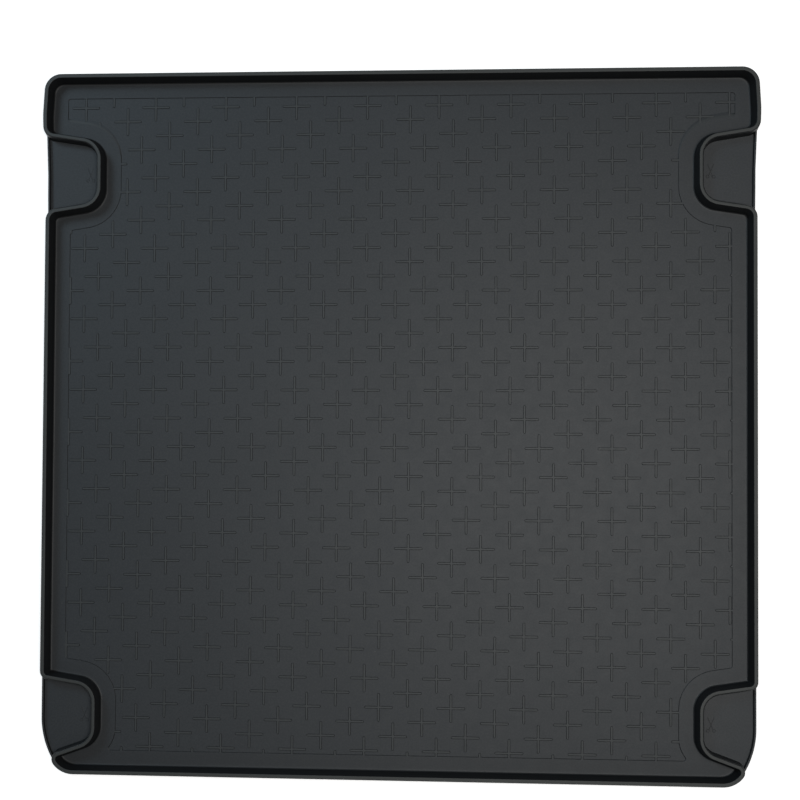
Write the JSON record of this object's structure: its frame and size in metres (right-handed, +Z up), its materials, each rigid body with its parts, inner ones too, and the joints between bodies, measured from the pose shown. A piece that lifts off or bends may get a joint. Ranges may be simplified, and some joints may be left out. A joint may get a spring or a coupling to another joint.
{
  "type": "car boot liner",
  "caption": "Flat moulded boot tray with an upright rim, stepped side pockets and a floor pattern of raised crosses.",
  "frame": {"origin": "middle of the outline, on the flat underside", "axes": "+Z up out of the tray, +Y towards its rear edge, +X to the right as seen from above"},
  "size_m": [1.094, 1.077, 0.028],
  "materials": {
    "liner": "matte"
  },
  "bodies": {
    "root": {"liner": "liner"}
  },
  "joints": []
}
